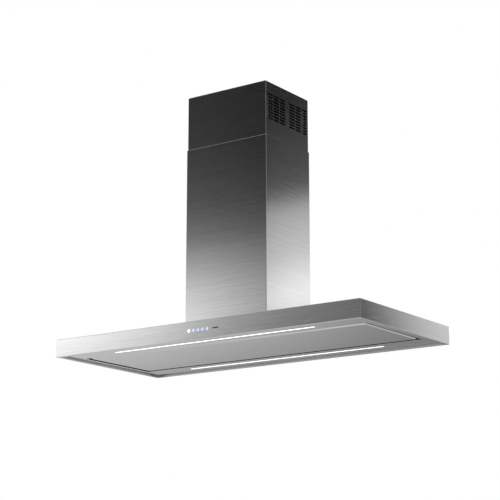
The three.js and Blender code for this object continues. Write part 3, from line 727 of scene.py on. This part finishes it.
def upper_cover():
    """The upper cover, with two groups of rows of round-ended slots through each side."""
    piece = folded_cover("upper_cover_skin", "upper_chimney_cover", rim=0.3 * MM)
    low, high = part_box("upper_chimney_cover")
    cutters = bmesh.new()
    seam_groove(cutters, "upper_chimney_cover")
    rows, columns, pitch = 9, 3, 10.2 * MM
    slot_length, slot_height, web, start = 33 * MM, 6.4 * MM, 4 * MM, 11.5 * MM
    first_row = -44.5 * MM
    screw_level = middle_of(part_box("cover_screw_left")).z
    screw_hole = [(0, -3 * MM), (2.4 * MM, -3 * MM), (2.4 * MM, 3 * MM), (0, 3 * MM)]
    for side in (-1, 1):
        wall = high.x if side > 0 else low.x
        for group in (-1, 1):
            for column in range(columns):
                y = group * (start + slot_length / 2 + column * (slot_length + web))
                for row in range(rows):
                    z = first_row - row * pitch
                    points = slot_outline(y, z, slot_length / 2, slot_height / 2)
                    extrude_x(cutters, points, wall - 3 * MM, wall + 3 * MM)
        lathe(cutters, screw_hole, (wall, 0, screw_level), "x", 1, 20)
    cut_holes(piece, cutters)


def light_frame():
    """The underside's plate, with the suction opening and the two lamp slots."""
    low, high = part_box("light_frame")
    edge, corner, hole_corner = 0.3 * MM, 1 * MM, 1.5 * MM
    size = high - low
    length, depth = SUCTION_OPENING
    levels = [(size.x - 2 * edge, size.y - 2 * edge, corner, low.z),
              (size.x, size.y, corner, low.z + edge), (size.x, size.y, corner, high.z),
              (length, depth, hole_corner, high.z), (length, depth, hole_corner, low.z + edge),
              (length + 2 * edge, depth + 2 * edge, hole_corner, low.z)]
    bm = bmesh.new()
    loft(bm, frame_rings(levels), closed=True)
    piece = finish_piece("light_frame_plate", bm, "hood", "brushed_steel", ["light_frame"])
    cutters = bmesh.new()
    slot_length, slot_width = 790.6 * MM, 10.6 * MM
    for node in ("led_diffuser_front", "led_diffuser_back"):
        centre = middle_of(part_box(node))
        levels = [(slot_length, slot_width, corner, z) for z in (low.z - 1 * MM, high.z + 1 * MM)]
        loft(cutters, frame_rings(levels, 4, (centre.x, centre.y)))
    cut_holes(piece, cutters)


def perimeter_panel():
    """The suction panel: a tray with sloped folds, notches over the hinges, and ribs inside."""
    low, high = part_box("perimeter_panel")
    top = low.z + 13 * MM
    corner, wall, fold = 2 * MM, 1 * MM, 3.6 * MM
    level = partial(inset_level, high - low, corner)
    levels = [level(fold, low.z), level(0.2 * MM, low.z + fold - 0.2 * MM),
              level(0, low.z + fold + 0.3 * MM),
              level(0, top - 0.4 * MM), level(0.4 * MM, top), level(wall - 0.3 * MM, top),
              level(wall, top - 0.3 * MM), level(wall, low.z + fold + 1.2 * MM),
              level(fold + 0.8 * MM, low.z + wall)]
    bm = bmesh.new()
    loft(bm, frame_rings(levels))
    piece = finish_piece("perimeter_panel_tray", bm, "panel", "brushed_steel", ["perimeter_panel"])
    cutters = bmesh.new()
    for side in (-1, 1):
        x = side * HINGE_X
        rounded_block(cutters, (x - 17 * MM, high.y - 3.2 * MM, low.z + fold + 1.5 * MM),
                      (x + 17 * MM, high.y + 2 * MM, top + 5 * MM), 1 * MM)
    cut_holes(piece, cutters)
    for side, label in ((-1, "left"), (1, "right")):
        hinge_bracket(side, label, low.z)
    for index, x in enumerate((-300 * MM, 0, 300 * MM)):
        stiffener(index + 1, x, low.z + wall)


def hinge_bracket(side, label, bottom):
    """The panel's hinge leaf: a foot, an upright and an eye round the pin."""
    bm = bmesh.new()
    x = side * HINGE_X
    pin_z = middle_of(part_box("hinge_pin_left")).z
    inner, outer, half = 2.9 * MM, 4.6 * MM, 1.5 * MM
    lathe(bm, [(inner, -half), (outer - 0.2 * MM, -half), (outer, -half + 0.2 * MM),
               (outer, half - 0.2 * MM), (outer - 0.2 * MM, half), (inner, half)],
          (x, HINGE_Y, pin_z), "x", 1, 32, closed=True)
    rounded_block(bm, (x - half, HINGE_Y - 6 * MM, bottom + 1.1 * MM),
                  (x + half, HINGE_Y + 2 * MM, pin_z - inner - 0.3 * MM), 0.3 * MM)
    rounded_block(bm, (x - 12 * MM, HINGE_Y - 20 * MM, bottom + 1.1 * MM),
                  (x + 12 * MM, HINGE_Y - 4 * MM, bottom + 2.4 * MM), 0.4 * MM)
    finish_piece("panel_hinge_leaf_" + label, bm, "panel", "galvanised_steel")


def stiffener(number, x, base):
    """A hat-section rib across the tray."""
    bm = bmesh.new()
    half, foot, height, sheet = 9 * MM, 17 * MM, 4.5 * MM, 0.8 * MM
    section = [(x - foot, base), (x - half - 2 * MM, base), (x - half, base + height - sheet),
               (x + half, base + height - sheet), (x + half + 2 * MM, base), (x + foot, base),
               (x + foot, base + sheet), (x + half + 2.6 * MM, base + sheet),
               (x + half + 0.6 * MM, base + height), (x - half - 0.6 * MM, base + height),
               (x - half - 2.6 * MM, base + sheet), (x - foot, base + sheet)]
    loft(bm, [[(u, y, z) for u, z in section] for y in (-140 * MM, 130 * MM)])
    finish_piece("panel_rib_%d" % number, bm, "panel", "galvanised_steel")


# ---------------------------------------------------------------- lamps and controls

def lamp(label):
    """A strip diffuser with a gently crowned face and a flange behind the frame's plate."""
    low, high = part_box("led_diffuser_" + label)
    y = middle_of((low, high)).y
    half, flange, crown = 5 * MM, 7.5 * MM, 0.5 * MM
    base, shoulder = low.z, high.z - 2 * MM
    section = [(y + half * u, base + crown * u * u) for u in [i / 6 - 1 for i in range(13)]]
    section += [(y + half, shoulder), (y + flange, shoulder), (y + flange, high.z), (y - flange, high.z),
                (y - flange, shoulder), (y - half, shoulder)]
    bm = bmesh.new()
    extrude_x(bm, section, -395 * MM, 395 * MM)
    finish_piece("led_strip_" + label, bm, "hood", "lamp_diffuser", ["led_diffuser_" + label])


def raised(bm, centre, corners, face, depth):
    """A flat shape of (across, up) corners in mm from centre, raised from the face level."""
    loft(bm, [[(centre.x + u * MM, y, centre.z + v * MM) for u, v in corners]
              for y in (face, face - depth)])


def icon_bar(bm, centre, start, end, width, face, depth):
    """A raised bar from start to end, in mm from the button's centre, seen from the front."""
    (u0, v0), (u1, v1) = start, end
    run = math.hypot(u1 - u0, v1 - v0)
    nu, nv = -(v1 - v0) / run * width / 2, (u1 - u0) / run * width / 2
    corners = [(u0 + nu, v0 + nv), (u0 - nu, v0 - nv), (u1 - nu, v1 - nv), (u1 + nu, v1 + nv)]
    raised(bm, centre, corners, face, depth)


def icon_arc(bm, centre, radius, start, end, width, face, depth, steps=20):
    """A raised arc from start to end in degrees, anticlockwise from the right."""
    for step in range(steps):
        angles = [math.radians(start + (end - start) * (step + k) / steps) for k in (0, 1)]
        corners = [(r * math.cos(a), r * math.sin(a)) for a, r in (
            (angles[0], radius - width / 2), (angles[0], radius + width / 2),
            (angles[1], radius + width / 2), (angles[1], radius - width / 2))]
        raised(bm, centre, corners, face, depth)


def icon(node, bm, centre, face):
    """Generic symbols, sized in mm: power, less, more, lamp and timer."""
    depth, line, thin_line = 0.12 * MM, 0.7, 0.45
    bar = partial(icon_bar, bm, centre, face=face, depth=depth)
    arc = partial(icon_arc, bm, centre, face=face, depth=depth)
    if node == "power_button":
        arc(1.9, 130, 410, line)
        bar((0, 0.6), (0, 2.6), line)
    elif node in ("key_1", "key_2"):
        bar((-2.3, 0), (2.3, 0), 1.0)
        if node == "key_2":
            bar((0, -2.3), (0, 2.3), 1.0)
    elif node == "key_3":
        arc(1.1, 0, 360, line)
        for ray in range(6):
            angle = math.radians(60 * ray + 30)
            start, end = [(r * math.cos(angle), r * math.sin(angle)) for r in (1.7, 2.5)]
            bar(start, end, 0.4)
    else:
        arc(2.1, 0, 360, 0.5, steps=28)
        bar((0, -0.2), (0, 1.4), thin_line)
        bar((-0.2, 0), (1.1, 0), thin_line)


def push_button(node):
    """A button's domed cap with its flange and stem, and the symbol on its face."""
    low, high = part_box(node)
    centre = middle_of((low, high))
    body = BODY_OF[node]
    front = low.y + 0.12 * MM
    rim, fillet = 4.5 * MM, 0.5 * MM
    flange, flange_front, flange_back = 5.8 * MM, 1.9 * MM, 2.6 * MM
    stem, stem_end = 2 * MM, 11.3 * MM
    profile = [(0, 0), (3.1 * MM, 0), (3.3 * MM, 0.12 * MM)]
    profile += [(rim - fillet * (1 - math.sin(a)), fillet * (1 - math.cos(a)))
                for a in [math.pi / 10 * i for i in range(6)]]
    profile += [(rim, flange_front), (flange, flange_front), (flange, flange_back),
                (stem, flange_back + 0.1 * MM), (stem, stem_end), (0, stem_end)]
    bm = bmesh.new()
    lathe(bm, profile, (centre.x, front, centre.z), "y", 1, 40)
    finish_piece(node + "_cap", bm, body, SLOT_OF[node], [node])
    marks = bmesh.new()
    icon(node, marks, centre, front + 0.02 * MM)
    finish_piece(node + "_icon", marks, body, "black_plastic")


# ---------------------------------------------------------------- filters

STRAND = 0.7 * MM
MESH_PITCH = 6.5 * MM
MESH_SLOPE = 0.62
SHORTEST_STRAND = 3 * MM


def strand_ends(low, high, slope, offset):
    """Where the line y = slope * x + offset crosses a rectangle, or None."""
    hits = []
    for x in (low[0], high[0]):
        y = slope * x + offset
        if low[1] <= y <= high[1]:
            hits.append((x, y))
    for y in (low[1], high[1]):
        x = (y - offset) / slope
        if low[0] < x < high[0]:
            hits.append((x, y))
    return hits[:2] if len(hits) >= 2 else None


def expanded_mesh(bm, low, high, z, slope):
    """One family of slanted strands over a rectangle: two families make the diamonds."""
    span = (high[1] - low[1]) + abs(slope) * (high[0] - low[0])
    start = low[1] - max(slope * low[0], slope * high[0])
    for index in range(1, int(span / MESH_PITCH)):
        ends = strand_ends(low, high, slope, start + index * MESH_PITCH)
        if not ends:
            continue
        (x0, y0), (x1, y1) = ends
        run = math.hypot(x1 - x0, y1 - y0)
        if run < SHORTEST_STRAND:
            continue
        nx, ny = -(y1 - y0) / run * STRAND / 2, (x1 - x0) / run * STRAND / 2
        loft(bm, [[(x + nx, y + ny, z), (x, y, z + STRAND * 0.6), (x - nx, y - ny, z),
                   (x, y, z - STRAND * 0.6)] for x, y in ((x0, y0), (x1, y1))])


def crimped_sheet(bm, low, high, height, phase):
    """A closed thin sheet, pressed into small bumps like the layers packed in a filter."""
    columns, rows = 40, 34
    ripple, gauge = 0.5 * MM, 0.3 * MM

    def layer(offset):
        return [[bm.verts.new((low[0] + (high[0] - low[0]) * i / columns,
                               low[1] + (high[1] - low[1]) * j / rows,
                               height + offset + ripple * (1 if (i + j + phase) % 2 else -1)))
                 for i in range(columns + 1)] for j in range(rows + 1)]

    top, bottom = layer(gauge / 2), layer(-gauge / 2)
    for j in range(rows):
        for i in range(columns):
            bm.faces.new((top[j][i], top[j][i + 1], top[j + 1][i + 1], top[j + 1][i]))
            bm.faces.new((bottom[j + 1][i], bottom[j + 1][i + 1], bottom[j][i + 1], bottom[j][i]))
    for i in range(columns):
        bm.faces.new((bottom[0][i], bottom[0][i + 1], top[0][i + 1], top[0][i]))
        bm.faces.new((top[rows][i], top[rows][i + 1], bottom[rows][i + 1], bottom[rows][i]))
    for j in range(rows):
        bm.faces.new((top[j][0], top[j + 1][0], bottom[j + 1][0], bottom[j][0]))
        bm.faces.new((bottom[j][columns], bottom[j + 1][columns], top[j + 1][columns], top[j][columns]))


def grease_filter(label):
    """A filter: its rounded frame, expanded mesh on both faces and two crimped sheets between."""
    node = "grease_filter_" + label
    body = BODY_OF[node]
    low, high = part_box(node)
    size, centre = high - low, middle_of((low, high))
    corner, border, radius, edge, steps = 6 * MM, 13 * MM, 1.8 * MM, 0.5 * MM, 4
    length, depth = size.x - 2 * border, size.y - 2 * border
    levels = edge_levels(size, corner, radius, low.z, 1, steps)
    levels += edge_levels(size, corner, radius, high.z, -1, steps, outward=False)
    levels += [(length + 2 * edge, depth + 2 * edge, 4 * MM, high.z),
               (length, depth, 3.5 * MM, high.z - edge), (length, depth, 3.5 * MM, low.z + edge),
               (length + 2 * edge, depth + 2 * edge, 4 * MM, low.z)]
    bm = bmesh.new()
    loft(bm, frame_rings(levels, 4, (centre.x, centre.y)), closed=True)
    finish_piece(node + "_rim", bm, body, "aluminium", [node])
    inner = ((centre.x - length / 2, centre.y - depth / 2), (centre.x + length / 2, centre.y + depth / 2))
    mesh = bmesh.new()
    mesh_depth = 1.6 * MM
    for level in (low.z + mesh_depth, high.z - mesh_depth):
        for slope in (MESH_SLOPE, -MESH_SLOPE):
            expanded_mesh(mesh, *inner, level + slope * 0.3 * MM, slope)
    finish_piece(node + "_mesh", mesh, body, "aluminium")
    pack = bmesh.new()
    sheet_gap = 1.6 * MM
    for phase in (0, 1):
        crimped_sheet(pack, *inner, centre.z + (0.5 - phase) * sheet_gap, phase)
    finish_piece(node + "_pack", pack, body, "aluminium", material=FILTER_PACK)


def filter_latch(label):
    """A latch, with five grip ridges on its thumb piece."""
    node = "filter_latch_" + label
    refined(node, 0.5 * MM, 3)
    low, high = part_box(node)
    centre = middle_of((low, high))
    thumb_y, ridge_pitch = low.y + 4.9 * MM, 4 * MM
    bm = bmesh.new()
    for index in range(5):
        x = centre.x + (index - 2) * ridge_pitch
        rounded_block(bm, (x - 0.6 * MM, thumb_y - 0.4 * MM, low.z + 1 * MM),
                      (x + 0.6 * MM, thumb_y + 0.3 * MM, low.z + 5.5 * MM), 0.25 * MM)
    finish_piece(node + "_grip", bm, BODY_OF[node], "zinc_fastener")


# ---------------------------------------------------------------- air path

def flexible_duct():
    """Corrugated foil hose from the blower's collar up to the deflector's spigot."""
    low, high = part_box("flexible_duct")
    valley, shoulder, crest, foil = 75.7 * MM, 77.05 * MM, 77.3 * MM, 0.3 * MM
    turns = int((high.z - low.z) / (5.5 * MM))
    pitch = (high.z - low.z) / turns
    waves = []
    for index in range(turns):
        base = low.z + index * pitch
        waves += [(valley, base), (shoulder, base + pitch * 0.3),
                  (crest, base + pitch * 0.5), (shoulder, base + pitch * 0.7)]
    waves.append((valley, high.z))
    inside = [(radius - foil, z) for radius, z in reversed(waves)]
    bm = bmesh.new()
    lathe(bm, waves + inside, (0, 0, 0), "z", 1, 56, closed=True)
    piece = finish_piece("flexible_duct_hose", bm, None, "duct_foil", ["flexible_duct"])
    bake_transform(piece)
    clamp_inset = 9 * MM
    hose_clamp("duct_clamp_lower", "hood", low.z + clamp_inset)
    hose_clamp("duct_clamp_upper", "ceiling_mount", high.z - clamp_inset)


def hose_clamp(name, body, z):
    """A worm-drive clamp: its band, the screw's housing and the screw."""
    bm = bmesh.new()
    inner, outer, half = 77.5 * MM, 78.3 * MM, 5 * MM
    lathe(bm, [(inner, -half), (outer - 0.2 * MM, -half), (outer, -half + 0.3 * MM),
               (outer, half - 0.3 * MM), (outer - 0.2 * MM, half), (inner, half)],
          (0, 0, z), "z", 1, 72, closed=True)
    rounded_block(bm, (-9 * MM, -outer - 6 * MM, z - half),
                  (9 * MM, -outer + 0.3 * MM, z + half), 1 * MM)
    lathe(bm, [(0, -13 * MM), (3 * MM, -13 * MM), (3.4 * MM, -12.4 * MM), (3.4 * MM, -9.5 * MM),
               (2.2 * MM, -9.5 * MM), (2.2 * MM, 12 * MM), (0, 12 * MM)],
          (0, -outer - 3.2 * MM, z), "x", 1, 20)
    finish_piece(name, bm, body, "zinc_fastener")


def motor_details():
    """Two rings of copper coils on the motor, and the screws on its end."""
    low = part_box("blower_motor")[0]
    axis_z = -712 * MM
    coils, coil_circle, coil_starts = 12, 32.178 * MM, (-62 * MM, -28 * MM)
    coil = [(0, 0), (3.6 * MM, 0.4 * MM), (4.4 * MM, 3 * MM), (4.4 * MM, 13 * MM),
            (3.6 * MM, 16 * MM), (0, 16.6 * MM)]
    bm = bmesh.new()
    for angle in [math.tau * index / coils for index in range(coils)]:
        y, z = coil_circle * math.cos(angle), axis_z + coil_circle * math.sin(angle)
        for x in coil_starts:
            lathe(bm, coil, (x, y, z), "x", 1, 12)
    finish_piece("motor_winding", bm, "hood", "zinc_fastener", material=COPPER)
    screw_circle, first_angle = 24 * MM, 0.4
    places = [(low.x, screw_circle * math.cos(a), axis_z + screw_circle * math.sin(a))
              for a in [math.tau * index / 4 + first_angle for index in range(4)]]
    screws("motor_screws", "hood", places, "x", -1, 2.4 * MM, 1.8 * MM)


def lid_with_screws(node, side):
    """A raised ribbed lid and four screws on a wiring box's outer face."""
    low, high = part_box(node)
    x = high.x if side > 0 else low.x
    lid_inset, rib_inset, screw_inset = 3 * MM, 14 * MM, 8 * MM
    bm = bmesh.new()
    a, b = sorted((x - side * 1.2 * MM, x + side * 0.9 * MM))
    rounded_block(bm, (a, low.y + lid_inset, low.z + lid_inset),
                  (b, high.y - lid_inset, high.z - lid_inset), 0.7 * MM)
    a, b = sorted((x + side * 0.7 * MM, x + side * 1.5 * MM))
    for share in (0.3, 0.4, 0.5, 0.6, 0.7):
        z = low.z + (high.z - low.z) * share
        rounded_block(bm, (a, low.y + rib_inset, z - 1.5 * MM),
                      (b, high.y - rib_inset, z + 1.5 * MM), 0.35 * MM)
    finish_piece(node + "_lid", bm, "hood", SLOT_OF[node])
    places = [(x + side * 0.8 * MM, y, z) for y in (low.y + screw_inset, high.y - screw_inset)
              for z in (low.z + screw_inset, high.z - screw_inset)]
    screws(node + "_lid_screws", "hood", places, "x", side, 2.6 * MM, 1.9 * MM)


def blower_box_details():
    """Corner straps with rivets, and three pressed ribs, on the front and back of the fan's box."""
    low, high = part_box("blower_box")
    strap_inset, strap_half, strap = 9 * MM, 8 * MM, 1 * MM
    rivet = [(0, 0), (2.4 * MM, 0), (2.1 * MM, 0.7 * MM), (1.2 * MM, 1.1 * MM), (0, 1.2 * MM)]
    rivet_count = 6
    seams, rivets = bmesh.new(), bmesh.new()
    for face, flip in ((low.y, -1), (high.y, 1)):
        a, b = sorted((face, face + flip * strap))
        for x in (low.x + strap_inset, high.x - strap_inset):
            rounded_block(seams, (x - strap_half, a, low.z + 2 * MM),
                          (x + strap_half, b, high.z - 2 * MM), 0.3 * MM)
            for index in range(rivet_count):
                z = low.z + (high.z - low.z) * (index + 0.5) / rivet_count
                lathe(rivets, rivet, (x, face + flip * strap, z), "y", flip, 16)
    for z in (low.z + 40 * MM, low.z + 110 * MM, low.z + 180 * MM):
        for face, flip in ((low.y, -1), (high.y, 1)):
            a, b = sorted((face - flip * 0.3 * MM, face + flip * 1.4 * MM))
            rounded_block(seams, (low.x + 24 * MM, a, z - 4 * MM),
                          (high.x - 24 * MM, b, z + 4 * MM), 0.8 * MM)
    finish_piece("blower_box_seams", seams, "hood", "galvanised_steel")
    finish_piece("blower_box_rivets", rivets, "hood", "zinc_fastener")


def board_details():
    """A switch behind each button, and three chips, on the control board."""
    low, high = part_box("control_board")
    half, switch_height, chip_height = 3 * MM, 1.2 * MM, 1 * MM
    bm = bmesh.new()
    for button in BUTTONS:
        centre = middle_of(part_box(button))
        rounded_block(bm, (centre.x - half, high.y, centre.z - half),
                      (centre.x + half, high.y + switch_height, centre.z + half), 0.3 * MM)
    for x in [low.x + (24 + 38 * index) * MM for index in range(3)]:
        rounded_block(bm, (x, high.y, low.z + 2 * MM),
                      (x + 9 * MM, high.y + chip_height, low.z + 7 * MM), 0.25 * MM)
    finish_piece("control_board_parts", bm, "hood", "black_plastic")


def gland_nut():
    """The mains gland: a hexagonal lock nut and a ribbed dome nut, both open through the middle."""
    low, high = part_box("cable_gland")
    centre = middle_of((low, high))
    dome, ribs = 8.9 * MM, 14
    bm = bmesh.new()
    lathe(bm, [(4.2 * MM, 0), (10 * MM, 0), (10.6 * MM, 0.6 * MM), (10.6 * MM, 4.4 * MM),
               (10 * MM, 5 * MM), (4.2 * MM, 5 * MM)],
          (centre.x, centre.y, low.z + 0.1 * MM), "z", 1, 6, closed=True)
    lathe(bm, [(4 * MM, 5 * MM), (8.6 * MM, 5 * MM), (dome, 6 * MM), (dome, 12.6 * MM),
               (8 * MM, 14.5 * MM), (6.4 * MM, 16.7 * MM), (4.6 * MM, 16.9 * MM), (4 * MM, 16.2 * MM)],
          (centre.x, centre.y, low.z), "z", 1, 36, closed=True)
    for angle in [math.tau * index / ribs for index in range(ribs)]:
        x, y = centre.x + dome * math.cos(angle), centre.y + dome * math.sin(angle)
        rounded_block(bm, (x - 0.5 * MM, y - 0.5 * MM, low.z + 6.3 * MM),
                      (x + 0.5 * MM, y + 0.5 * MM, low.z + 12.4 * MM), 0.3 * MM)
    finish_piece("cable_gland_nut", bm, "hood", "black_plastic", ["cable_gland"])


# ---------------------------------------------------------------- the pieces

FILTER_PACK = filter_pack()
COPPER = copper()
DARK_STEEL_AND_PAINTED_SHADE = dark_steel_and_painted_shade()

canopy_skin()
lower_cover()
upper_cover()
light_frame()
perimeter_panel()
for label in ("front", "back"):
    lamp(label)
for button in BUTTONS:
    push_button(button)
for label in ("left", "middle", "right"):
    grease_filter(label)
    filter_latch(label)
flexible_duct()
motor_details()
lid_with_screws("power_box", 1)
lid_with_screws("terminal_box", -1)
blower_box_details()
board_details()
gland_nut()

# CAD nodes that only need rounded edges, with the rounding in mm
EDGES = {
    "receiver_window": 0.3, "ceiling_plate": 0.5, "frame_brace_front": 0.4,
    "frame_brace_back": 0.4, "base_frame": 0.4, "led_channel_front": 0.3,
    "led_channel_back": 0.3, "plenum_box": 0.2, "blower_box": 0.25, "blower_housing": 0.5,
    "blower_motor": 0.5, "outlet_collar": 0.4, "power_box": 1.0, "terminal_box": 1.0,
    "control_housing": 0.4, "control_board": 0.15, "hinge_pin_left": 0.4, "hinge_pin_right": 0.4,
    "magnet_catch_left": 0.5, "magnet_catch_right": 0.5, "impeller": 0.2, "damper_flap_left": 0.2,
    "damper_flap_right": 0.2,
}
for number in range(1, 5):
    EDGES["upper_leg_%d" % number] = 0.4
    EDGES["lower_leg_%d" % number] = 0.3
    EDGES["leg_bolt_%d" % number] = 0.3
for node, edge in EDGES.items():
    refined(node, edge * MM)
# the suction collar gets near-black steel in place of its brushed steel: painted shade for the slot round
# the panel
refined("suction_collar", 0.2 * MM, material=DARK_STEEL_AND_PAINTED_SHADE)
refined("air_deflector", 0.6 * MM, material=MATERIALS["black_plastic"])
for side in ("left", "right"):
    refined("cover_screw_" + side, 0.3 * MM, material=DARK_STEEL_AND_PAINTED_SHADE)
